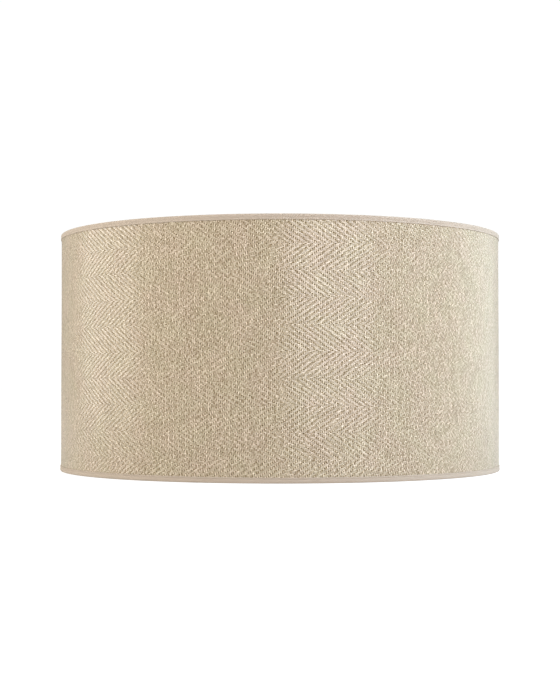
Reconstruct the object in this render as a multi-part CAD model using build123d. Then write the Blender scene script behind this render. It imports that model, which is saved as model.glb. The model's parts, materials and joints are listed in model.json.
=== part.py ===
from build123d import *
import math
import os

# Overall size. Origin: centre of the bottom rim plane. +Z up, front at -Y, seam at +Y.
shade_diameter = 400.0
shade_height = 212.0

# Sheet layers, from the inside out
backing_thickness = 0.4
tape_thickness = 0.2
fabric_thickness = 0.7
trim_thickness = 0.6

# Lap seam at the back
lap_width = 12.0
ramp_width = 6.0
seam_angle = 90.0

# Wire frame
wire_radius = 1.6
trim_leg_outside = 4.7
trim_leg_inside = 11.0
trim_edge_round = 0.9
channel_half = 1.0
spoke_angles = (30.0, 150.0, 270.0)
spoke_notch_play = 0.25
fitter_drop = 29.0

# Gimbal carrier
band_inner_radius = 31.5
band_thickness = 1.5
band_height = 9.0
band_edge_round = 0.4

# Lampholder ring: a pressed cup washer for a 40 mm lampholder skirt
cup_outer_radius = 27.5
cup_thickness = 1.2
cup_height = 9.0
cup_pivot_above_floor = 5.0
cup_corner_round = 1.5
lampholder_hole_radius = 20.75

# Pivots
pin_radius = 1.5
pin_running_clearance = 0.05
pin_head_radius = 2.8
pin_inner_head = (24.9, 25.85)
pin_outer_head_height = 1.2
pin_head_round = 0.5
spacer_radius = 3.0
spacer_gap = 0.3

# Reducer for a 28 mm lampholder thread
reducer_bore_radius = 14.5
reducer_wall = 1.6
reducer_flange_radius = 24.0
reducer_collar_radius = 20.6
reducer_depth = 3.0
reducer_rest_gap = 0.1
reducer_edge_round = 0.4
reducer_rib_count = 8
reducer_rib_thickness = 1.0
reducer_rib_depth = 2.2

# Derived radii and heights
outer_radius = shade_diameter / 2
fabric_out = outer_radius - trim_thickness
fabric_in = fabric_out - fabric_thickness
backing_in = fabric_in - backing_thickness
lap_raise = backing_thickness + fabric_thickness + tape_thickness
wire_circle = backing_in - wire_radius
wrap_radius = wire_radius + trim_thickness
panel_low = trim_thickness
panel_high = shade_height - trim_thickness
pivot_height = shade_height - fitter_drop
cup_floor = pivot_height - cup_pivot_above_floor

# Seam angles, counted anticlockwise from above
lap_turn = math.degrees(lap_width / outer_radius)
ramp_turn = math.degrees(ramp_width / outer_radius)
fold_turn = math.degrees(fabric_thickness / outer_radius)
lap_start = seam_angle - lap_turn / 2
lap_end = lap_start + lap_turn
ramp_end = lap_end + ramp_turn


def at(radius, angle):
    """A point in plan, from a radius and an angle in degrees."""
    return Vector(radius * math.cos(math.radians(angle)), radius * math.sin(math.radians(angle)))


def arcs(radius, start, end):
    """Arc edges about the axis from one angle to another, each at most a third of a turn."""
    count = max(1, math.ceil(abs(end - start) / 120))
    step = (end - start) / count
    return [
        ThreePointArc(
            at(radius, start + i * step),
            at(radius, start + (i + 0.5) * step),
            at(radius, start + (i + 1) * step),
        )
        for i in range(count)
    ]


def upright(edges, low, high):
    """The closed plan outline made by the edges, extruded from one height to another."""
    plan = make_face(Wire(edges))
    return extrude(Pos(0, 0, low) * plan, high - low, dir=(0, 0, 1))


def turned(points):
    """A closed (radius, height) outline turned about the axis."""
    outline = make_face(Polyline(*[(r, 0, z) for r, z in points], close=True))
    return revolve(outline, Axis.Z)


def block(inner, outer, low, high):
    """A ring of rectangular section."""
    return turned([(inner, low), (outer, low), (outer, high), (inner, high)])


def lapped_sheet(inner, outer, outer_end, low, high):
    """A sheet rolled once round with its outer end lifted over its inner end.

    outer_end lists the (radius, angle) corners of the lifted end from its outer to its inner face.
    """
    over_out, over_in = outer + lap_raise, inner + lap_raise
    first, last = outer_end[0][1], outer_end[-1][1]
    edges = arcs(over_out, first, lap_end)
    edges.append(Line(at(over_out, lap_end), at(outer, ramp_end)))
    edges += arcs(outer, ramp_end, lap_end + 360)
    edges.append(Line(at(outer, lap_end), at(inner, lap_end)))
    edges += arcs(inner, lap_end + 360, ramp_end)
    edges.append(Line(at(inner, ramp_end), at(over_in, lap_end)))
    edges += arcs(over_in, lap_end, last)
    corners = list(reversed(outer_end))
    for (r1, a1), (r2, a2) in zip(corners, corners[1:]):
        edges += arcs(r1, a1, a2) if r1 == r2 else [Line(at(r1, a1), at(r2, a2))]
    return upright(edges, low, high)


def make_cover_fabric():
    """Linen whose free end is turned in over the end of the backing."""
    over_in, under = fabric_in + lap_raise, fabric_out + tape_thickness
    end = [
        (fabric_out + lap_raise, lap_start),
        (under, lap_start),
        (under, lap_start + fold_turn),
        (over_in, lap_start + fold_turn),
    ]
    return lapped_sheet(fabric_in, fabric_out, end, panel_low, panel_high)


def make_backing_sheet():
    start = lap_start + fold_turn
    end = [(fabric_in + lap_raise, start), (backing_in + lap_raise, start)]
    return lapped_sheet(backing_in, fabric_in, end, panel_low, panel_high)


def make_seam_tape():
    inner, outer = fabric_out, fabric_out + tape_thickness
    edges = arcs(outer, lap_start, lap_end)
    edges.append(Line(at(outer, lap_end), at(inner, lap_end)))
    edges += arcs(inner, lap_end, lap_start)
    edges.append(Line(at(inner, lap_start), at(outer, lap_start)))
    return upright(edges, panel_low, panel_high)


def make_bottom_ring():
    return Pos(0, 0, wrap_radius) * Torus(wire_circle, wire_radius)


def flipped(shape):
    """The same piece at the other rim."""
    return mirror(shape, Plane.XY.offset(shade_height / 2))


def trim_outline():
    """Plan outline of the edge tape's outer face, bumped out over the lap."""
    step_start = lap_start - ramp_turn
    over = outer_radius + lap_raise
    edges = arcs(outer_radius, ramp_end, step_start + 360)
    edges.append(Line(at(outer_radius, step_start), at(over, lap_start)))
    edges += arcs(over, lap_start, lap_end)
    edges.append(Line(at(over, lap_end), at(outer_radius, ramp_end)))
    return edges


def make_bottom_trim(panel, ring):
    """Edge tape: outer leg, under the edge, round the wire and up the inside.

    The wire touches the backing, so the tape's channel is open towards it.
    """
    edge = upright(trim_outline(), 0, trim_leg_outside)
    edge = fillet(edge.edges().group_by(Axis.Z)[0], trim_edge_round)
    edge -= Pos(0, 0, shade_height) * Cylinder(wire_circle, 3 * shade_height)
    edge -= block(wire_circle / 2, fabric_out, trim_thickness, shade_height)
    corner = block(wire_circle, backing_in, trim_thickness / 2, wrap_radius)
    leg = block(backing_in - trim_thickness, backing_in, wrap_radius / 2, trim_leg_inside)
    wrap = Pos(0, 0, wrap_radius) * Torus(wire_circle, wrap_radius)
    trim = edge + corner + leg + wrap
    channel = block(wire_circle, backing_in, wrap_radius - channel_half, wrap_radius + channel_half)
    for piece in (*panel, ring, channel):
        trim -= piece
    return max(trim.solids(), key=lambda solid: solid.volume)


def spoke_rod(radius, angle):
    """A straight rod from the top wire's centre to the middle of the carrier band."""
    outer_end = Vector(wire_circle, 0, shade_height - wrap_radius)
    inner_end = Vector(band_inner_radius, 0, pivot_height)
    along = inner_end - outer_end
    rod = Plane(origin=outer_end, z_dir=along) * Cylinder(
        radius, along.length, align=(Align.CENTER, Align.CENTER, Align.MIN)
    )
    return Rot(0, 0, angle) * rod


def make_spoke(angle, ring):
    """A wire cut to the hoop at one end and to the carrier band at the other."""
    band_core = Pos(0, 0, pivot_height) * Cylinder(band_inner_radius + band_thickness, 4 * band_height)
    rod = spoke_rod(wire_radius, angle) - ring - band_core
    return max(rod.solids(), key=lambda solid: solid.volume)


def make_top_trim(bottom_trim):
    """The same tape at the top, notched where the spokes leave the wire."""
    trim = flipped(bottom_trim)
    for angle in spoke_angles:
        trim -= spoke_rod(wire_radius + spoke_notch_play, angle)
    return max(trim.solids(), key=lambda solid: solid.volume)


def along_x(radius, start, end):
    """A rod on the pivot axis between two distances from the centre."""
    rod = Cylinder(radius, end - start, align=(Align.CENTER, Align.CENTER, Align.MIN))
    return Pos(start, 0, pivot_height) * Rot(0, 90, 0) * rod


def make_carrier_band():
    low, high = pivot_height - band_height / 2, pivot_height + band_height / 2
    outer = band_inner_radius + band_thickness
    band = block(band_inner_radius, outer, low, high)
    band = fillet(band.edges().group_by(Axis.Z)[0] + band.edges().group_by(Axis.Z)[-1], band_edge_round)
    return band - along_x(pin_radius, -2 * outer, 2 * outer)


def make_pivot_pin():
    """Rivet on the right: flat head inside the cup, shank through cup and band, snap head outside."""
    outer = band_inner_radius + band_thickness
    head_end = outer + pin_outer_head_height
    shank = along_x(pin_radius, pin_inner_head[0], outer)
    inside = along_x(pin_head_radius, *pin_inner_head)
    inside = fillet(inside.edges().group_by(Axis.X)[0], pin_head_round)
    outside = along_x(pin_head_radius, outer - pin_head_round, head_end)
    outside = fillet(outside.edges().group_by(Axis.X)[-1], pin_head_round)
    outside -= Pos(0, 0, pivot_height) * Cylinder(outer, 2 * band_height)
    return (shank + inside + outside).solid()


def make_pivot_spacer():
    """Sleeve on the right-hand rivet, seated on the inside of the band."""
    sleeve = along_x(spacer_radius, cup_outer_radius + spacer_gap, band_inner_radius + band_thickness)
    sleeve &= Pos(0, 0, pivot_height) * Cylinder(band_inner_radius, 2 * band_height)
    sleeve -= along_x(pin_radius, 0, band_inner_radius + band_thickness)
    return sleeve.solid()


def make_lampholder_ring():
    """Pressed cup washer with the lampholder hole in its floor and pivot holes in its wall."""
    inner, top = cup_outer_radius - cup_thickness, cup_floor + cup_height
    floor_top = cup_floor + cup_thickness
    cup = turned(
        [
            (lampholder_hole_radius, cup_floor),
            (cup_outer_radius, cup_floor),
            (cup_outer_radius, top),
            (inner, top),
            (inner, floor_top),
            (lampholder_hole_radius, floor_top),
        ]
    )
    rings = cup.edges().filter_by(GeomType.CIRCLE)
    corner = [e for e in rings if abs(e.radius - cup_outer_radius) < 0.01 and e.center().Z < floor_top]
    inside = [e for e in rings if abs(e.radius - inner) < 0.01 and e.center().Z < floor_top + 0.01]
    cup = fillet(corner, cup_corner_round)
    cup = fillet([e for e in cup.edges().filter_by(GeomType.CIRCLE) if any(
        abs(e.radius - i.radius) < 0.01 and abs(e.center().Z - i.center().Z) < 0.01 for i in inside)],
        cup_corner_round - cup_thickness)
    hole = pin_radius + pin_running_clearance
    return (cup - along_x(hole, -cup_outer_radius - 1, cup_outer_radius + 1)).solid()


def make_reducer_ring():
    """Stepped plastic ring: flange on the cup floor, collar in its hole, ribs to a lip round the bore."""
    seat = cup_floor + cup_thickness + reducer_rest_gap
    low, top = seat - reducer_depth, seat + reducer_wall
    lip, collar_in = reducer_bore_radius + reducer_wall, reducer_collar_radius - reducer_wall
    ring = turned(
        [
            (reducer_bore_radius, low),
            (lip, low),
            (lip, seat),
            (collar_in, seat),
            (collar_in, low),
            (reducer_collar_radius, low),
            (reducer_collar_radius, seat),
            (reducer_flange_radius, seat),
            (reducer_flange_radius, top),
            (reducer_bore_radius, top),
        ]
    )
    ring = fillet(ring.edges().filter_by(GeomType.CIRCLE).group_by(Axis.Z)[-1], reducer_edge_round)
    bite = reducer_wall / 2
    rib_length = collar_in - lip + 2 * bite
    rib = Pos(lip - bite, 0, seat + bite) * Box(
        rib_length,
        reducer_rib_thickness,
        reducer_rib_depth + bite,
        align=(Align.MIN, Align.CENTER, Align.MAX),
    )
    for i in range(reducer_rib_count):
        ring += Rot(0, 0, (i + 0.5) * 360 / reducer_rib_count) * rib
    return ring.solid()


cover_fabric = make_cover_fabric()
backing_sheet = make_backing_sheet()
seam_tape = make_seam_tape()
bottom_ring = make_bottom_ring()
top_ring = flipped(bottom_ring)
bottom_trim = make_bottom_trim((cover_fabric, backing_sheet, seam_tape), bottom_ring)
pivot_pin_right = make_pivot_pin()
pivot_spacer_right = make_pivot_spacer()

nodes = {
    "cover_fabric": cover_fabric,
    "backing_sheet": backing_sheet,
    "seam_tape": seam_tape,
    "top_trim": make_top_trim(bottom_trim),
    "bottom_trim": bottom_trim,
    "top_ring": top_ring,
    "bottom_ring": bottom_ring,
    "carrier_band": make_carrier_band(),
    "pivot_pin_right": pivot_pin_right,
    "pivot_pin_left": Rot(0, 0, 180) * pivot_pin_right,
    "pivot_spacer_right": pivot_spacer_right,
    "pivot_spacer_left": Rot(0, 0, 180) * pivot_spacer_right,
    "lampholder_ring": make_lampholder_ring(),
    "reducer_ring": make_reducer_ring(),
}
for number, angle in enumerate(spoke_angles, start=1):
    nodes[f"spoke_{number}"] = make_spoke(angle, top_ring)

os.makedirs("parts", exist_ok=True)
for name, shape in nodes.items():
    export_step(shape, f"parts/{name}.step")
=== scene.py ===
import json
import math
import bmesh
import bpy
from mathutils import Matrix, Vector, noise


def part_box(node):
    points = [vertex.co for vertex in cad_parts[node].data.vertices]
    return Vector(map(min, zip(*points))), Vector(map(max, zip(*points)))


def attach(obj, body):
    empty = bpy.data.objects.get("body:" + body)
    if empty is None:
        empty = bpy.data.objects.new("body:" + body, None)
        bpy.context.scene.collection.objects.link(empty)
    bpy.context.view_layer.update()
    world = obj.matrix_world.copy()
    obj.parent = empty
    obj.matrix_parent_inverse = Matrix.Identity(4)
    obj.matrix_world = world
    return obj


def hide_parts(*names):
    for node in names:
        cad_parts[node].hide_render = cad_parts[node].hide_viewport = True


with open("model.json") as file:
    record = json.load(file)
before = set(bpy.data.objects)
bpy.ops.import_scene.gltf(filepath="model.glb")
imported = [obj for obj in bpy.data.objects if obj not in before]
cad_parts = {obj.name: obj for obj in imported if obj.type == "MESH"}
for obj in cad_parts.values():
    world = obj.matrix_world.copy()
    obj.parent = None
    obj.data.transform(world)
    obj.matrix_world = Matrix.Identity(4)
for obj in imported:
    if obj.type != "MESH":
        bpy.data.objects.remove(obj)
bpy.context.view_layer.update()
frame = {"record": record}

MM = 0.001
SHADE = "shade"     # the body that every Blender piece rides on


# ---------------------------------------------------------------- sizes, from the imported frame
def half_width(node):
    low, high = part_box(node)
    return (high[0] - low[0]) / 2


RIM = half_width("bottom_trim")          # outer face of the edge tapes
CLOTH = half_width("cover_fabric")       # outer face of the linen
LINING = half_width("backing_sheet")     # outer face of the stiff lining
WIRE = half_width("top_ring")            # outside of the wire hoops, where the lining touches them
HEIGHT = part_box("top_trim")[1][2]
SHEET_LOW, SHEET_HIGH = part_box("backing_sheet")[0][2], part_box("backing_sheet")[1][2]
WIRE_R = (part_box("bottom_ring")[1][2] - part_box("bottom_ring")[0][2]) / 2
TAPE_IN_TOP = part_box("bottom_trim")[1][2]
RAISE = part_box("cover_fabric")[1][1] - CLOTH    # how far the lap stands out at the back
JOINTS = {joint["name"]: joint for joint in frame["record"]["behaviour"]["joints"]}
PIVOT_Z = JOINTS["gimbal_pivot"]["pos_m"][2]

LAP = 12.0 * MM                 # overlap of the sheets' ends at the back
RAMP = 6.0 * MM                 # way round over which the upper layer comes down again
TAPE_OUT = 4.7 * MM             # height of the tape's visible leg
TAPE_THICK = 0.55 * MM
TAPE_ON_WIRE = 0.6 * MM         # from the wire hoop to the edge of the rim
SPOKES = (30.0, 150.0, 270.0)   # degrees
BACK = math.pi / 2              # angle of the seam
UPRIGHT = Vector((0, 0, 1))


# ---------------------------------------------------------------- mesh helpers
def add_piece(name, verts, faces, body):
    """A smooth mesh that rides on a body."""
    mesh = bpy.data.meshes.new(name)
    mesh.from_pydata([tuple(v) for v in verts], [], faces)
    bm = bmesh.new()
    bm.from_mesh(mesh)
    bmesh.ops.remove_doubles(bm, verts=bm.verts, dist=1e-7)
    bmesh.ops.recalc_face_normals(bm, faces=bm.faces)
    bm.to_mesh(mesh)
    bm.free()
    for poly in mesh.polygons:
        poly.use_smooth = True
    piece = bpy.data.objects.new(name, mesh)
    bpy.context.scene.collection.objects.link(piece)
    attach(piece, body)
    return piece


def ring_faces(rows, columns, wrap_rows=False, wrap_columns=False):
    """Quads of a grid of rows x columns vertices."""
    faces = []
    for r in range(rows if wrap_rows else rows - 1):
        for c in range(columns if wrap_columns else columns - 1):
            r2, c2 = (r + 1) % rows, (c + 1) % columns
            faces.append((r * columns + c, r * columns + c2, r2 * columns + c2, r2 * columns + c))
    return faces


def ease(t):
    t = min(1.0, max(0.0, t))
    return t * t * (3 - 2 * t)


def polar(radius, angle, z):
    return (radius * math.cos(angle), radius * math.sin(angle), z)


def turn_steps(start, end, coarse, fine, centre, reach):
    """Angles from start to end, closely spaced near the centre angle."""
    out, a = [start], start
    while a < end - 1e-9:
        near = min(abs(a - centre), abs(a - centre - 2 * math.pi), abs(a - centre + 2 * math.pi))
        a = min(end, a + (fine if near < reach else coarse))
        out.append(a)
    return out


# ---------------------------------------------------------------- rolled sheets
SHEET_ROWS = 44         # rows of faces up a sheet
SHEET_COARSE = 0.0155   # radians between columns, away from the lap
SHEET_FINE = 0.0022     # and beside it
SHEET_REACH = 0.06      # radians each way from the back that have the fine columns
ROUND_OFF = 0.6         # share of the thickness taken off the linen's free edge
LINING_BACK = 0.0035    # radians from the linen's free end to the lining's
WAVE = 0.16 * MM        # size of the unevenness
CALM_EDGE = 0.02        # metres from a rim over which the unevenness dies away
LAP_START = BACK - LAP / 2 / RIM
LAP_END = LAP_START + LAP / RIM
RAMP_END = LAP_END + RAMP / RIM


def lift(angle):
    """How far the sheet stands out: fully up to the end of the lap, then down the ramp to nothing."""
    if angle <= LAP_END:
        return RAISE
    return RAISE * (1 - ease((angle - LAP_END) / (RAMP_END - LAP_END)))


def waviness(angle, z):
    """A stiff sheet is never perfectly round: a tenth of a millimetre or so, none at the hoops."""
    x, y = math.cos(angle) * 2.2, math.sin(angle) * 2.2
    n = noise.noise(Vector((x, y, z * 9))) + 0.5 * noise.noise(Vector((x * 3, y * 3, z * 22 + 5)))
    edge = ease((z - SHEET_LOW) / CALM_EDGE) * ease((SHEET_HIGH - z) / CALM_EDGE)
    return WAVE * n * edge


def rolled_sheet(name, inner, outer, start, rounded):
    """A closed sheet rolled once round, its free end lifted over the other end."""
    angles = turn_steps(start, LAP_END + 2 * math.pi, SHEET_COARSE, SHEET_FINE, BACK, SHEET_REACH)
    heights = [SHEET_LOW + (SHEET_HIGH - SHEET_LOW) * k / SHEET_ROWS for k in range(SHEET_ROWS + 1)]
    columns = []
    for a in angles:
        up = lift(a)
        tip = min(1.0, (a - start) * RIM / (outer - inner)) if rounded else 1.0
        round_off = (1 - math.sqrt(max(0.0, 1 - (1 - tip) ** 2))) * (outer - inner) * ROUND_OFF
        columns.append((a, outer + up - round_off, inner + up))
    n = len(columns)
    verts = [polar(out_r + waviness(a, z), a, z) for z in heights for a, out_r, _ in columns]
    verts += [polar(in_r + waviness(a, z), a, z) for z in heights for a, _, in_r in columns]
    base = n * len(heights)
    # the outer face, the inner face, both ends, and then the bottom and top edges
    faces = ring_faces(len(heights), n)
    faces += [tuple(base + v for v in reversed(f)) for f in ring_faces(len(heights), n)]
    for k in range(SHEET_ROWS):
        for c in (0, n - 1):
            faces.append((k * n + c, (k + 1) * n + c, base + (k + 1) * n + c, base + k * n + c))
    top = SHEET_ROWS * n
    for c in range(n - 1):
        faces.append((c, c + 1, base + c + 1, base + c))
        faces.append((top + c, top + c + 1, base + top + c + 1, base + top + c))
    return add_piece(name, verts, faces, SHADE)


linen = rolled_sheet("linen_cover", LINING, CLOTH, LAP_START, True)
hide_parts("cover_fabric")

lining = rolled_sheet("stiff_lining", WIRE, LINING, LAP_START + LINING_BACK, False)
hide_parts("backing_sheet")


# ---------------------------------------------------------------- edge tapes
# outer face of the visible leg, from its edge: (mm out from RIM, mm below the edge); a shallow groove at 1.5
TAPE_LEG = (
    (-0.42, 0.0),
    (-0.12, 0.05),
    (-0.02, 0.25),
    (0.0, 0.55),
    (-0.05, 0.95),
    (-0.20, 1.25),
    (-0.26, 1.5),
    (-0.18, 1.8),
    (-0.05, 2.3),
    (0.02, 3.0),
    (-0.03, 3.6),
)
CORNER = 1.05 * MM          # radius of the tape's bend into the rim's edge
CORNER_INSET = 0.05 * MM    # and how far that bend is inside RIM
CORNER_STEPS = 6
WRAP_STEPS = 14
INNER_LEG = WIRE - 0.62 * MM    # face of the tucked-in leg, towards the axis
INNER_LEG_HEIGHTS = (0.0049, 0.0062, 0.0078, 0.0094, 0.0106)
TAPE_COARSE = 0.0145        # radians between cross-sections, away from the lap
TAPE_FINE = 0.0012          # and near the lap and the tape's own overlap
TAPE_MIDDLE = BACK + 0.05   # angle about midway between those two
TAPE_REACH = 0.13           # radians each way from it that have the fine steps
OVERLAP_GAP = 0.02          # radians from the foot of the lap's ramp to the tape's overlap
OVERLAP_STEP = 0.5 * MM     # how far the tape's last end stands on its first
STEP_UP = 0.0012            # radians in which it steps up
STEP_DOWN = 0.012           # and comes down again
SWAY = 0.05 * MM            # how far the outer leg wanders in and out
FRAY = 0.10 * MM            # how far the tape's edges wander up and down
FRAY_DEPTH = 1.2 * MM       # below the outer edge, the depth down to which they do


def tape_path():
    """Outer face of the bottom tape as (radius, height) points, from its outer edge to its inner edge."""
    path = [(RIM + out * MM, TAPE_OUT - down * MM) for out, down in TAPE_LEG]
    for k in range(CORNER_STEPS + 1):
        t = math.radians(12 + 78 * k / CORNER_STEPS)
        path.append((RIM - CORNER_INSET - CORNER + CORNER * math.cos(t), CORNER - CORNER * math.sin(t)))
    path.append((RIM - 2.2 * MM, 0.02 * MM))
    wire_middle, wrap = WIRE - WIRE_R, WIRE_R + TAPE_ON_WIRE
    for k in range(WRAP_STEPS + 1):
        t = math.radians(270 - 205 * k / WRAP_STEPS)
        path.append((wire_middle + wrap * math.cos(t), wrap + wrap * math.sin(t)))
    path += [(INNER_LEG, z) for z in INNER_LEG_HEIGHTS]
    path.append((WIRE - 0.25 * MM, TAPE_IN_TOP))
    return path


def offset_path(path, distance):
    """The path moved sideways, to the material's other face."""
    out = []
    for k, p in enumerate(path):
        a, b = path[max(0, k - 1)], path[min(len(path) - 1, k + 1)]
        dx, dz = b[0] - a[0], b[1] - a[1]
        length = math.hypot(dx, dz)
        out.append((p[0] + dz / length * distance, p[1] - dx / length * distance))
    return out


def tape_lift(angle, radius):
    """The tape rides over the lap seam and over its own starting end."""
    share = ease((radius - WIRE) / (CLOTH - WIRE))
    up = 0.0
    if LAP_START - RAMP / RIM < angle < LAP_START:
        up = RAISE * ease((angle - LAP_START + RAMP / RIM) / (RAMP / RIM))
    elif LAP_START <= angle < RAMP_END:
        up = lift(angle)
    overlap = 9.0 * MM / RIM
    begin = RAMP_END + OVERLAP_GAP
    if begin < angle < begin + overlap:
        up += OVERLAP_STEP * min(1.0, (angle - begin) / STEP_UP)
    elif begin + overlap <= angle < begin + overlap + STEP_DOWN:
        up += OVERLAP_STEP * (1 - ease((angle - begin - overlap) / STEP_DOWN))
    return up * share


def edge_tape(name, node, at_top):
    """One folded tape, carried all the way round a rim."""
    outer = tape_path()
    inner = offset_path(outer, TAPE_THICK)
    ring = outer + inner[::-1]
    count = len(ring)
    angles = turn_steps(-math.pi, math.pi, TAPE_COARSE, TAPE_FINE, TAPE_MIDDLE, TAPE_REACH)[:-1]
    verts = []
    for a in angles:
        sway = SWAY * noise.noise(Vector((math.cos(a) * 9, math.sin(a) * 9, 3 if at_top else 7)))
        for r, z in ring:
            edge = FRAY * noise.noise(Vector((math.cos(a) * 30, math.sin(a) * 30, r * 900)))
            zz = max(z + (edge if z > TAPE_OUT - FRAY_DEPTH else 0), 0)
            rr = r + tape_lift(a, r) + (sway if r > CLOTH else 0)
            verts.append(polar(rr, a, HEIGHT - zz if at_top else zz))
    faces = ring_faces(len(angles), count, wrap_rows=True, wrap_columns=True)
    piece = add_piece(name, verts, faces, SHADE)
    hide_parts(node)
    return piece


top_tape = edge_tape("top_tape", "top_trim", True)
bottom_tape = edge_tape("bottom_tape", "bottom_trim", False)


SPOKE_INSET = 1.5 * MM      # from the carrier band's widest point in to the end of a spoke's line
NOTCH_SIDES = 20
NOTCH_ROOM = 0.3 * MM       # clearance round the spoke
NOTCH_DROP = 6.5 * MM       # how far the slot is stretched down, past the wrapped part
NOTCH_SPAN = (-0.2 * MM, 14 * MM)       # where the slot begins and ends along the spoke


def spoke_line(angle):
    """Both ends of a spoke's middle line, from the top hoop's wire to the carrier band."""
    start = Vector((WIRE - WIRE_R, 0, HEIGHT - WIRE_R - TAPE_ON_WIRE))
    end = Vector((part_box("carrier_band")[1][0] - SPOKE_INSET, 0, PIVOT_Z))
    turn = Matrix.Rotation(math.radians(angle), 3, "Z")
    return turn @ start, turn @ end


def notch_cutter(angle):
    """The solid that cuts a blunt slot where the tape is wrapped round the hoop, to let a spoke out."""
    start, end = spoke_line(angle)
    along = (end - start).normalized()
    side = along.cross(UPRIGHT).normalized()
    up = side.cross(along).normalized()
    reach = WIRE_R + NOTCH_ROOM
    verts = []
    for distance in NOTCH_SPAN:
        for k in range(NOTCH_SIDES):
            t = 2 * math.pi * k / NOTCH_SIDES
            stretch = NOTCH_DROP if math.sin(t) < -0.2 else 0.0
            off = side * math.cos(t) * reach + up * (math.sin(t) * reach - stretch)
            verts.append(start + along * distance + off)
    n = NOTCH_SIDES
    faces = [tuple(range(n))[::-1], tuple(range(n, 2 * n))]
    faces += [(k, (k + 1) % n, n + (k + 1) % n, n + k) for k in range(n)]
    mesh = bpy.data.meshes.new("cutter")
    mesh.from_pydata(verts, [], faces)
    cutter = bpy.data.objects.new("cutter", mesh)
    bpy.context.scene.collection.objects.link(cutter)
    return cutter


def cut_notches(piece):
    for angle in SPOKES:
        cutter = notch_cutter(angle)
        mod = piece.modifiers.new("notch", "BOOLEAN")
        mod.operation, mod.object, mod.solver = "DIFFERENCE", cutter, "EXACT"
        bpy.context.view_layer.update()
        graph = bpy.context.evaluated_depsgraph_get()
        mesh = bpy.data.meshes.new_from_object(piece.evaluated_get(graph))
        piece.modifiers.clear()
        old = piece.data
        piece.data = mesh
        bpy.data.meshes.remove(old)
        data = cutter.data
        bpy.data.objects.remove(cutter)
        bpy.data.meshes.remove(data)


cut_notches(top_tape)


# ---------------------------------------------------------------- welds
WELD_SIZE = (2.9 * MM, 1.5 * MM, 2.5 * MM)      # half sizes: round the band, through it, upright
WELD_BACK = 1.6 * MM        # from the end of the spoke's line back to the middle of the bead
WELD_LUMPS = 0.16           # unevenness, as a share of the bead's size


def weld_bead(name, centre, along, up, size, body):
    """A small solidified pool of weld metal, lumpy, longer along one way."""
    bm = bmesh.new()
    bmesh.ops.create_icosphere(bm, subdivisions=3, radius=1.0)
    side = along.cross(up).normalized()
    for v in bm.verts:
        lump = 1 + WELD_LUMPS * noise.noise(v.co * 2.3 + Vector(centre) * 90)
        p = v.co * lump
        v.co = centre + along * p.x * size[0] + side * p.y * size[1] + up * p.z * size[2]
    mesh = bpy.data.meshes.new(name)
    bm.to_mesh(mesh)
    bm.free()
    for poly in mesh.polygons:
        poly.use_smooth = True
    piece = bpy.data.objects.new(name, mesh)
    bpy.context.scene.collection.objects.link(piece)
    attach(piece, body)
    return piece


welds = []
for number, angle in enumerate(SPOKES, start=1):
    start, end = spoke_line(angle)
    along = (end - start).normalized()
    round_way = UPRIGHT.cross(along).normalized()
    foot = end - along * WELD_BACK
    welds.append(weld_bead(f"weld_band_{number}", foot, round_way, UPRIGHT, WELD_SIZE, SHADE))


# ---------------------------------------------------------------- shader helpers
WHITE = (1.0, 1.0, 1.0, 1.0)
WARM_SHEEN = (1.0, 0.97, 0.92, 1.0)


def feed(tree, slot, item):
    """Link a value or a colour socket into a shader socket, or set the socket to a constant."""
    if isinstance(item, Value):
        item = item.socket
    if isinstance(item, bpy.types.NodeSocket):
        tree.links.new(item, slot)
    else:
        slot.default_value = item


class Value:
    """A shader socket that takes arithmetic."""

    def __init__(self, tree, socket):
        self.tree, self.socket = tree, socket

    def math(self, operation, *others, clamp=False):
        node = self.tree.nodes.new("ShaderNodeMath")
        node.operation, node.use_clamp = operation, clamp
        for slot, item in zip(node.inputs, (self, *others)):
            feed(self.tree, slot, item)
        return Value(self.tree, node.outputs[0])

    def __add__(self, other):
        return self.math("ADD", other)

    __radd__ = __add__

    def __sub__(self, other):
        return self.math("SUBTRACT", other)

    def __rsub__(self, other):
        return self.math("MULTIPLY", -1.0).math("ADD", other)

    def __mul__(self, other):
        return self.math("MULTIPLY", other)

    def __truediv__(self, other):
        return self.math("DIVIDE", other)

    def floor(self):
        return self.math("FLOOR")

    def fract(self):
        return self.math("FRACT")

    def mod(self, other):
        return self.math("FLOORED_MODULO", other)

    def maximum(self, other):
        return self.math("MAXIMUM", other)

    def clamp(self):
        return self.math("ADD", 0.0, clamp=True)

    def ramp(self, low, high, out_low=0.0, out_high=1.0):
        node = self.tree.nodes.new("ShaderNodeMapRange")
        node.interpolation_type = "SMOOTHSTEP"
        self.tree.links.new(self.socket, node.inputs["Value"])
        for key, item in zip(("From Min", "From Max", "To Min", "To Max"), (low, high, out_low, out_high)):
            node.inputs[key].default_value = item
        return Value(self.tree, node.outputs[0])


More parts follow.
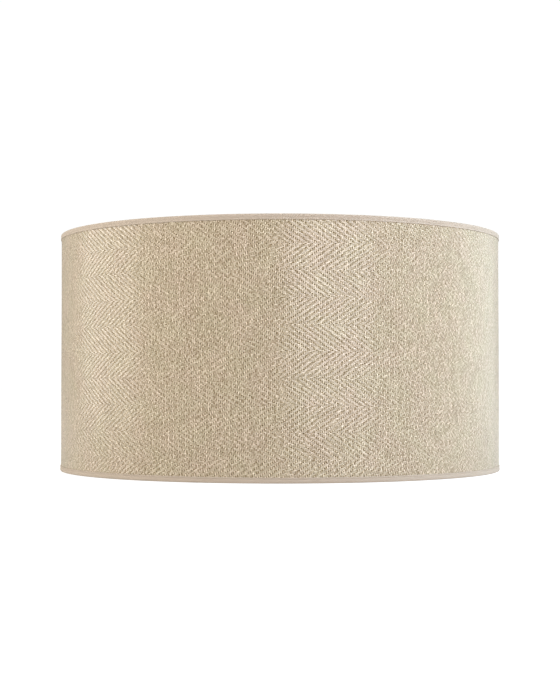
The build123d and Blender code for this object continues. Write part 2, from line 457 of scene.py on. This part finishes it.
class Shader:
    """One procedural material."""

    def __init__(self, name):
        self.material = bpy.data.materials.new(name)
        self.material.use_nodes = True
        self.tree = self.material.node_tree
        self.tree.nodes.clear()
        self.bsdf = self.tree.nodes.new("ShaderNodeBsdfPrincipled")
        out = self.tree.nodes.new("ShaderNodeOutputMaterial")
        self.tree.links.new(self.bsdf.outputs[0], out.inputs[0])
        coordinates = self.tree.nodes.new("ShaderNodeTexCoord")
        self.point = coordinates.outputs["Object"]
        split = self.tree.nodes.new("ShaderNodeSeparateXYZ")
        self.tree.links.new(self.point, split.inputs[0])
        self.x, self.y, self.z = (Value(self.tree, s) for s in split.outputs)

    def way_round(self, radius):
        """Distance round the shade from the front, in mm, on a cylinder of this radius."""
        return self.x.math("ARCTAN2", self.y * -1.0) * (radius / MM)

    def off_axis(self):
        """Distance from the shade's axis, in metres."""
        return (self.x * self.x + self.y * self.y).math("SQRT")

    def vector(self, x, y, z):
        node = self.tree.nodes.new("ShaderNodeCombineXYZ")
        for slot, item in zip(node.inputs, (x, y, z)):
            feed(self.tree, slot, item)
        return node.outputs[0]

    def noise(self, at, scale, detail=2.0, roughness=0.5):
        node = self.tree.nodes.new("ShaderNodeTexNoise")
        node.inputs["Scale"].default_value = scale
        node.inputs["Detail"].default_value = detail
        node.inputs["Roughness"].default_value = roughness
        self.tree.links.new(at, node.inputs["Vector"])
        return Value(self.tree, node.outputs[0])

    def random(self, at):
        node = self.tree.nodes.new("ShaderNodeTexWhiteNoise")
        node.noise_dimensions = "3D"
        self.tree.links.new(at, node.inputs["Vector"])
        return Value(self.tree, node.outputs[0])

    def mix(self, share, first, second):
        node = self.tree.nodes.new("ShaderNodeMix")
        node.data_type = "RGBA"
        feed(self.tree, node.inputs[0], share)
        for slot, item in ((node.inputs[6], first), (node.inputs[7], second)):
            feed(self.tree, slot, (*item, 1.0) if isinstance(item, tuple) else item)
        return node.outputs[2]

    def scale_of_colours(self, share, stops):
        """A colour for each value, smoothly between the stops (value, colour)."""
        node = self.tree.nodes.new("ShaderNodeValToRGB")
        ramp = node.color_ramp
        while len(ramp.elements) < len(stops):
            ramp.elements.new(0.5)
        for element, (at, colour) in zip(ramp.elements, stops):
            element.position = at
            element.color = (*colour, 1.0)
        self.tree.links.new(share.socket, node.inputs[0])
        return node.outputs[0]

    def tinted(self, colour, tint):
        """The colour times another colour."""
        node = self.tree.nodes.new("ShaderNodeVectorMath")
        node.operation = "MULTIPLY"
        self.tree.links.new(colour, node.inputs[0])
        self.tree.links.new(tint, node.inputs[1])
        return node.outputs[0]

    def scaled(self, colour, amount):
        """The colour times a value."""
        node = self.tree.nodes.new("ShaderNodeVectorMath")
        node.operation = "SCALE"
        self.tree.links.new(colour, node.inputs[0])
        self.tree.links.new(amount.socket, node.inputs["Scale"])
        return node.outputs[0]

    def bump(self, height, distance):
        node = self.tree.nodes.new("ShaderNodeBump")
        node.inputs["Distance"].default_value = distance
        self.tree.links.new(height.socket, node.inputs["Height"])
        self.tree.links.new(node.outputs[0], self.bsdf.inputs["Normal"])

    def set(self, **values):
        for key, item in values.items():
            feed(self.tree, self.bsdf.inputs[key.replace("_", " ")], item)

    def on(self, *objects):
        for item in objects:
            piece = bpy.data.objects[item] if isinstance(item, str) else item
            if piece.material_slots:
                for slot in piece.material_slots:
                    slot.material = self.material
            else:
                piece.data.materials.append(self.material)


# ---------------------------------------------------------------- linen
PITCH_ROUND = 1.52      # mm between the upright threads
PITCH_UP = 1.0675       # mm between the threads that run round
BAND_THREADS = 20       # threads in one herringbone stripe
FIRST_BORDER = 18.2     # mm from the bottom rim to a stripe's border
# yarn colour by brightness (0.25 is a medium yarn half in shadow, 0.5 a medium yarn, 1 the palest fibres)
YARN_COLOURS = (
    (0.0, (0.020, 0.011, 0.004)),
    (0.12, (0.120, 0.070, 0.022)),
    (0.25, (0.250, 0.180, 0.084)),
    (0.5, (0.500, 0.403, 0.268)),
    (1.0, (1.0, 0.850, 0.636)),
)
UPRIGHT_PALER = 1.12    # the upright yarn is that much paler than the one that runs round
FLECK = (0.16, 0.10, 0.055)
NUB = (0.86, 0.76, 0.60)
PINKER, GREENER = (1.018, 0.985, 1.01), (0.993, 1.006, 0.985)    # the two ends of the cloth's faint tint
REPEAT = 4.0            # threads in one repeat of the twill: two over, two under
WANDER_ROUND = 2.4      # mm from side to side that an upright thread can stray
WANDER_UP = 1.6         # mm up and down that a thread that runs round can stray
INTERLACE = 0.55        # rise and fall of a thread as it goes over and under; its crest is 1 high
HEATHER = 0.40          # the most that one crossing of threads can be paler or darker
SLIT_SHADOW_DARK = 0.85        # how dark the painted shadow in the slits between upright threads is
WEAVE_DEPTH = 0.22 * MM     # of the bumps


def yarn_shade(slub, one_float, fibre):
    """Brightness of a yarn: 0.95 with its slubs, the difference between its floats, and its fibres."""
    return 0.95 + (slub - 0.5) * 0.36 + one_float * 0.34 + (fibre - 0.5) * 0.4


def linen_material():
    """A two-over-two herringbone twill of lustrous round-going threads and duller upright ones."""
    s = Shader("linen_herringbone")
    round_mm = s.way_round(CLOTH)
    up_mm = s.z / MM
    # threads counted round (u) and up (v), with the cloth's wander; odd stripes lean the other way
    drift = s.vector(round_mm * 0.02, up_mm * 0.035, 0.0)
    u = (round_mm + (s.noise(drift, 1.0) - 0.5) * WANDER_ROUND) / PITCH_ROUND
    drift2 = s.vector(round_mm * 0.022, up_mm * 0.018, 7.0)
    v = (up_mm - FIRST_BORDER + (s.noise(drift2, 1.0) - 0.5) * WANDER_UP) / PITCH_UP
    i, j = u.floor(), v.floor()
    odd = (v / BAND_THREADS).floor().mod(2.0)
    sense = 1.0 - odd * 2.0

    run = (u + sense * j + odd).mod(REPEAT)            # place along a thread that runs round
    rise = (i + sense * v + odd + odd).mod(REPEAT)     # place along an upright thread
    slub_r = s.noise(s.vector(u * 0.11, j * 3.7, 2.0), 1.0, 2.0)
    slub_u = s.noise(s.vector(i * 3.1, v * 0.10, 9.0), 1.0, 2.0)
    across_r = v.fract() - 0.5
    across_u = u.fract() - 0.5
    round_height = (1.0 - (across_r * 2.0).math("POWER", 4.0) * 0.80) * (0.85 + slub_r * 0.3)
    upright_height = (1.0 - (across_u * 2.0).math("POWER", 2.0) * 0.85) * (0.85 + slub_u * 0.3)
    arch_r = ((run - 1.0) * (math.pi / 2)).math("COSINE")
    arch_u = ((rise - 1.0) * (math.pi / 2)).math("COSINE")
    top_r = round_height + arch_r * INTERLACE
    top_u = upright_height - arch_u * INTERLACE
    on_top = (top_r - top_u).ramp(-0.10, 0.10)
    height = top_r.maximum(top_u)

    # painted shadow in the slit between two upright threads, where the threads that run round pass behind
    # both
    edge = (u + 0.5).floor()
    slit_shadow = s.random(s.vector(edge, ((rise + 1.0) / REPEAT).floor() + (v / REPEAT).floor(), 2.0)) * 0.8 + 0.7
    slit_shadow = slit_shadow * (across_u * across_u).ramp(0.03, 0.17) * (0.0 - arch_r).ramp(-0.25, 0.75)

    float_r = s.random(s.vector(((run + 1.0) / REPEAT).floor() + (u / REPEAT).floor(), j, 5.0)) - 0.5
    float_u = s.random(s.vector(i, ((rise + 1.0) / REPEAT).floor() + (v / REPEAT).floor(), 8.0)) - 0.5
    fibre_r = s.noise(s.vector(u * 0.9, v * 7.0, 0.0), 1.0, 2.0)
    fibre_u = s.noise(s.vector(u * 7.0, v * 0.9, 5.0), 1.0, 2.0)
    shade_r = yarn_shade(slub_r, float_r, fibre_r)
    shade_u = yarn_shade(slub_u, float_u, fibre_u)
    # the crest of a thread that runs round is pressed flat and lustrous
    crest = on_top * (across_r * across_r).ramp(0.20, 0.06) * arch_r.ramp(-0.3, 0.5)
    tone = shade_u + (shade_r - shade_u) * on_top
    # painted shade: the weave is darker where it lies low, and darker again in the painted slit shadows
    hollow_shade = height.ramp(0.40, 1.25, 0.50, 1.10) * (1.0 - slit_shadow * SLIT_SHADOW_DARK).clamp()
    heather = 1.0 + (s.random(s.vector(i, j, 1.0)) - s.random(s.vector(i + 1.0, j, 1.0))) * HEATHER
    blotch = s.noise(s.vector(round_mm * 0.05, up_mm * 0.05, 1.0), 1.0, 3.0) * 0.14 + 0.93
    paler = UPRIGHT_PALER - on_top * (UPRIGHT_PALER - 1.0)
    colour = s.scale_of_colours(tone * hollow_shade * heather * blotch * paler * 0.5, YARN_COLOURS)
    hue = s.noise(s.vector(round_mm * 0.045, up_mm * 0.045, 13.0), 1.0, 2.0).ramp(0.3, 0.7)
    colour = s.tinted(colour, s.mix(hue, PINKER, GREENER))
    fleck = s.noise(s.vector(round_mm * 0.55, up_mm * 0.8, 4.0), 1.0, 1.0).ramp(0.74, 0.79)
    nub = s.noise(s.vector(round_mm * 0.6, up_mm * 1.2, 21.0), 1.0, 1.0).ramp(0.70, 0.75)
    colour = s.mix(nub * 0.6, colour, NUB)
    s.set(
        Base_Color=s.mix(fleck * 0.7, colour, FLECK),
        Roughness=0.80 - on_top * 0.25,
        Specular_IOR_Level=0.2,
        Coat_Weight=crest,
        Coat_Roughness=0.24,
        Coat_IOR=1.8,
        Sheen_Weight=0.34,
        Sheen_Roughness=0.45,
        Sheen_Tint=WARM_SHEEN,
    )
    s.bump(height + (fibre_r + fibre_u) * 0.12, WEAVE_DEPTH)
    return s


linen_material().on(linen)


# ---------------------------------------------------------------- edge tape
TAPE_PITCH_ROUND = 0.55     # mm between the tape's cross threads
TAPE_PITCH_UP = 0.42        # mm between its long threads


def tape_material():
    """Fine plain-woven cotton."""
    s = Shader("tape_cotton")
    round_mm = s.way_round(RIM)
    reach = s.off_axis() / MM
    along = round_mm / TAPE_PITCH_ROUND
    across = (s.z / MM + reach) / TAPE_PITCH_UP
    i, j = along.floor(), across.floor()
    weave = (i + j).mod(2.0)
    rib = (1.0 - (along.fract() - 0.5) * (along.fract() - 0.5) * 4.0) * weave
    rib = rib + (1.0 - (across.fract() - 0.5) * (across.fract() - 0.5) * 4.0) * (1.0 - weave)
    streak = s.noise(s.vector(round_mm * 0.10, across * 1.3, 2.0), 1.0, 3.0)
    cloud = s.noise(s.vector(round_mm * 0.06, s.z / MM * 0.4, 6.0), 1.0, 3.0)
    # the rib term paints shade into the colour: each thread is lighter on its crown and darker in the dips
    # between threads
    tone = 0.84 + streak * 0.16 + cloud * 0.12 + rib * 0.05
    base = s.mix(cloud, (0.452, 0.362, 0.270), (0.499, 0.407, 0.311))
    s.set(
        Base_Color=s.scaled(base, tone),
        Roughness=0.78 - rib * 0.08,
        Specular_IOR_Level=0.3,
        Sheen_Weight=0.2,
        Sheen_Roughness=0.4,
        Sheen_Tint=WARM_SHEEN,
    )
    s.bump(rib + streak * 0.8, 0.05 * MM)
    return s


tape_material().on(top_tape, bottom_tape)


# ---------------------------------------------------------------- lining, adhesive
def lining_material():
    s = Shader("white_lining")
    round_mm = s.way_round(CLOTH)
    up_mm = s.z / MM
    ghost = s.noise(s.vector(round_mm * 0.35, up_mm * 0.5, 0.0), 1.0, 4.0)
    cloud = s.noise(s.point, 14.0, 3.0)
    base = s.mix(cloud, (0.68, 0.667, 0.63), (0.74, 0.73, 0.70))
    s.set(
        Base_Color=s.scaled(base, 0.96 + ghost * 0.07),
        Roughness=0.42 + s.noise(s.point, 60.0, 4.0) * 0.2,
        Specular_IOR_Level=0.45,
    )
    s.bump(ghost + s.noise(s.point, 1400.0, 2.0) * 0.25, 0.05 * MM)
    return s


lining_material().on(lining)


def adhesive_material():
    s = Shader("seam_adhesive")
    cloud = s.noise(s.point, 90.0, 4.0)
    s.set(
        Base_Color=s.mix(cloud, (0.62, 0.58, 0.48), (0.74, 0.71, 0.62)),
        Roughness=0.35 + cloud * 0.3,
    )
    s.bump(cloud, 0.05 * MM)
    return s


adhesive_material().on("seam_tape")


# ---------------------------------------------------------------- frame and fitting
def coated_steel():
    s = Shader("white_coated_steel")
    peel = s.noise(s.point, 900.0, 2.0)
    dust = s.noise(s.point, 55.0, 5.0)
    chips = s.noise(s.point, 420.0, 2.0).ramp(0.735, 0.76)
    base = s.mix(dust.ramp(0.35, 0.75), (0.82, 0.815, 0.79), (0.74, 0.73, 0.70))
    s.set(
        Base_Color=s.mix(chips * 0.55, base, (0.34, 0.33, 0.31)),
        Roughness=0.34 + dust * 0.2,
        Specular_IOR_Level=0.5,
        Coat_Weight=0.15,
        Coat_Roughness=0.25,
    )
    s.bump(peel + chips * -0.6, 0.05 * MM)
    return s


coated_steel().on(
    "top_ring", "bottom_ring", "spoke_1", "spoke_2", "spoke_3", "carrier_band", "lampholder_ring", *welds
)


def zinc_steel():
    s = Shader("zinc_rivet")
    grain = s.noise(s.point, 700.0, 4.0)
    cloud = s.noise(s.point, 160.0, 3.0)
    s.set(
        Base_Color=s.mix(cloud, (0.52, 0.51, 0.48), (0.70, 0.69, 0.67)),
        Metallic=1.0,
        Roughness=0.26 + grain * 0.25,
    )
    s.bump(grain, 0.03 * MM)
    return s


zinc_steel().on("pivot_pin_left", "pivot_pin_right", "pivot_spacer_left", "pivot_spacer_right")


def moulded_plastic():
    s = Shader("moulded_plastic")
    flow = s.noise(s.point, 45.0, 3.0)
    grain = s.noise(s.point, 2200.0, 2.0)
    s.set(
        Base_Color=s.mix(flow, (0.80, 0.795, 0.77), (0.86, 0.855, 0.835)),
        Roughness=0.28 + flow * 0.12 + grain * 0.08,
        Specular_IOR_Level=0.5,
        Subsurface_Weight=0.08,
        Subsurface_Radius=(0.002, 0.0018, 0.0014),
        Subsurface_Scale=1.0,
    )
    s.bump(grain + flow * 2.0, 0.02 * MM)
    return s


moulded_plastic().on("reducer_ring")


# ---------------------------------------------------------------- floor, light, camera
FLOOR_REACH = 12.0          # metres from the middle of the floor to an edge
FLOOR_DROP = 0.0002         # metres from the foot of the shade down to the floor
GLOW_NEAR, GLOW_FAR = 0.25, 1.1     # metres from the axis between which the floor gets brighter
GLOW_MIDDLE = 0.80          # its glow under the shade; 1 further out
GLOW_UNSEEN = 0.55          # share of the glow that lights the object; the camera sees all of it
SKY_LIGHT = 0.2             # strength of the sky that lights the object
SKY_SEEN = 1.02             # and of the one that the camera sees


def make_floor():
    """A pale floor whose own glow makes it plain white to the camera."""
    bm = bmesh.new()
    bmesh.ops.create_grid(bm, x_segments=8, y_segments=8, size=FLOOR_REACH)
    mesh = bpy.data.meshes.new("floor")
    bm.to_mesh(mesh)
    bm.free()
    floor = bpy.data.objects.new("floor", mesh)
    bpy.context.scene.collection.objects.link(floor)
    floor.location.z = -FLOOR_DROP
    s = Shader("pale_floor")
    cloud = s.noise(s.point, 3.0, 3.0)
    glow = s.off_axis().ramp(GLOW_NEAR, GLOW_FAR, GLOW_MIDDLE, 1.0)
    seen = Value(s.tree, s.tree.nodes.new("ShaderNodeLightPath").outputs["Is Camera Ray"])
    s.set(
        Base_Color=s.mix(cloud, (0.34, 0.34, 0.335), (0.36, 0.36, 0.355)),
        Roughness=0.9,
        Specular_IOR_Level=0.0,
        Emission_Color=WHITE,
        Emission_Strength=glow * (seen * (1.0 - GLOW_UNSEEN) + GLOW_UNSEEN),
    )
    s.on(floor)


def make_sky():
    """Plain white behind everything, and a dimmer even light on the object."""
    world = bpy.data.worlds.new("studio")
    bpy.context.scene.world = world
    world.use_nodes = True
    tree = world.node_tree
    lighting = tree.nodes["Background"]
    backdrop = tree.nodes.new("ShaderNodeBackground")
    for sky, strength in ((lighting, SKY_LIGHT), (backdrop, SKY_SEEN)):
        sky.inputs[0].default_value = WHITE
        sky.inputs[1].default_value = strength
    mix = tree.nodes.new("ShaderNodeMixShader")
    tree.links.new(tree.nodes.new("ShaderNodeLightPath").outputs["Is Camera Ray"], mix.inputs[0])
    tree.links.new(lighting.outputs[0], mix.inputs[1])
    tree.links.new(backdrop.outputs[0], mix.inputs[2])
    tree.links.new(mix.outputs[0], tree.nodes["World Output"].inputs[0])


def soft_light(name, place, size, watts, colour):
    """A rectangular softbox aimed at the middle of the shade."""
    data = bpy.data.lights.new(name, "AREA")
    data.shape, data.size, data.size_y = "RECTANGLE", *size
    data.energy, data.color = watts, colour
    lamp = bpy.data.objects.new(name, data)
    lamp.location = place
    aim = Vector((0, 0, HEIGHT / 2)) - lamp.location
    lamp.rotation_euler = aim.to_track_quat("-Z", "Y").to_euler()
    bpy.context.scene.collection.objects.link(lamp)


make_floor()
make_sky()

LIGHT_DISTANCE = 1.6        # metres from the axis
# turn from the front (degrees, + to the right), height, (width, tallness), watts, colour;
# the two at 1.0 m put no gleam on an upright wall
SIDE_LIGHTS = {
    "left_side": (-94, 0.35, (1.3, 1.4), 14.5, (1.0, 0.99, 0.97)),
    "left_front": (-66, 1.0, (1.2, 0.8), 15.6, (1.0, 0.99, 0.97)),
    "front": (24, 0.35, (1.2, 1.4), 15.8, (1.0, 0.97, 1.04)),
    "right_front": (78, 1.0, (1.8, 0.8), 24.5, (0.91, 1.13, 1.41)),
    "right_back": (120, 0.35, (1.2, 1.4), 8.5, (0.90, 1.01, 0.95)),
}
for name, (turn, height, size, watts, colour) in SIDE_LIGHTS.items():
    a = math.radians(turn)
    place = (LIGHT_DISTANCE * math.sin(a), -LIGHT_DISTANCE * math.cos(a), height)
    soft_light(name, place, size, watts, colour)
soft_light("overhead", (0.0, 0.0, 1.9), (1.1, 1.1), 11.0, (1.0, 1.0, 1.0))

CAMERA_PLACE = (0.0, -1.3286, 0.0788)
CAMERA_TILT = 91.307        # degrees up from straight down; 90 is level
CAMERA_LENS = 74.1          # mm, for a sensor 36 mm wide

camera_data = bpy.data.cameras.new("camera")
camera_data.lens = CAMERA_LENS
camera_data.sensor_width = 36.0
camera_data.clip_start = 0.02
camera = bpy.data.objects.new("camera", camera_data)
camera.location = CAMERA_PLACE
camera.rotation_euler = (math.radians(CAMERA_TILT), 0.0, 0.0)
bpy.context.scene.collection.objects.link(camera)
bpy.context.scene.camera = camera
bpy.context.scene.view_settings.view_transform = "Standard"
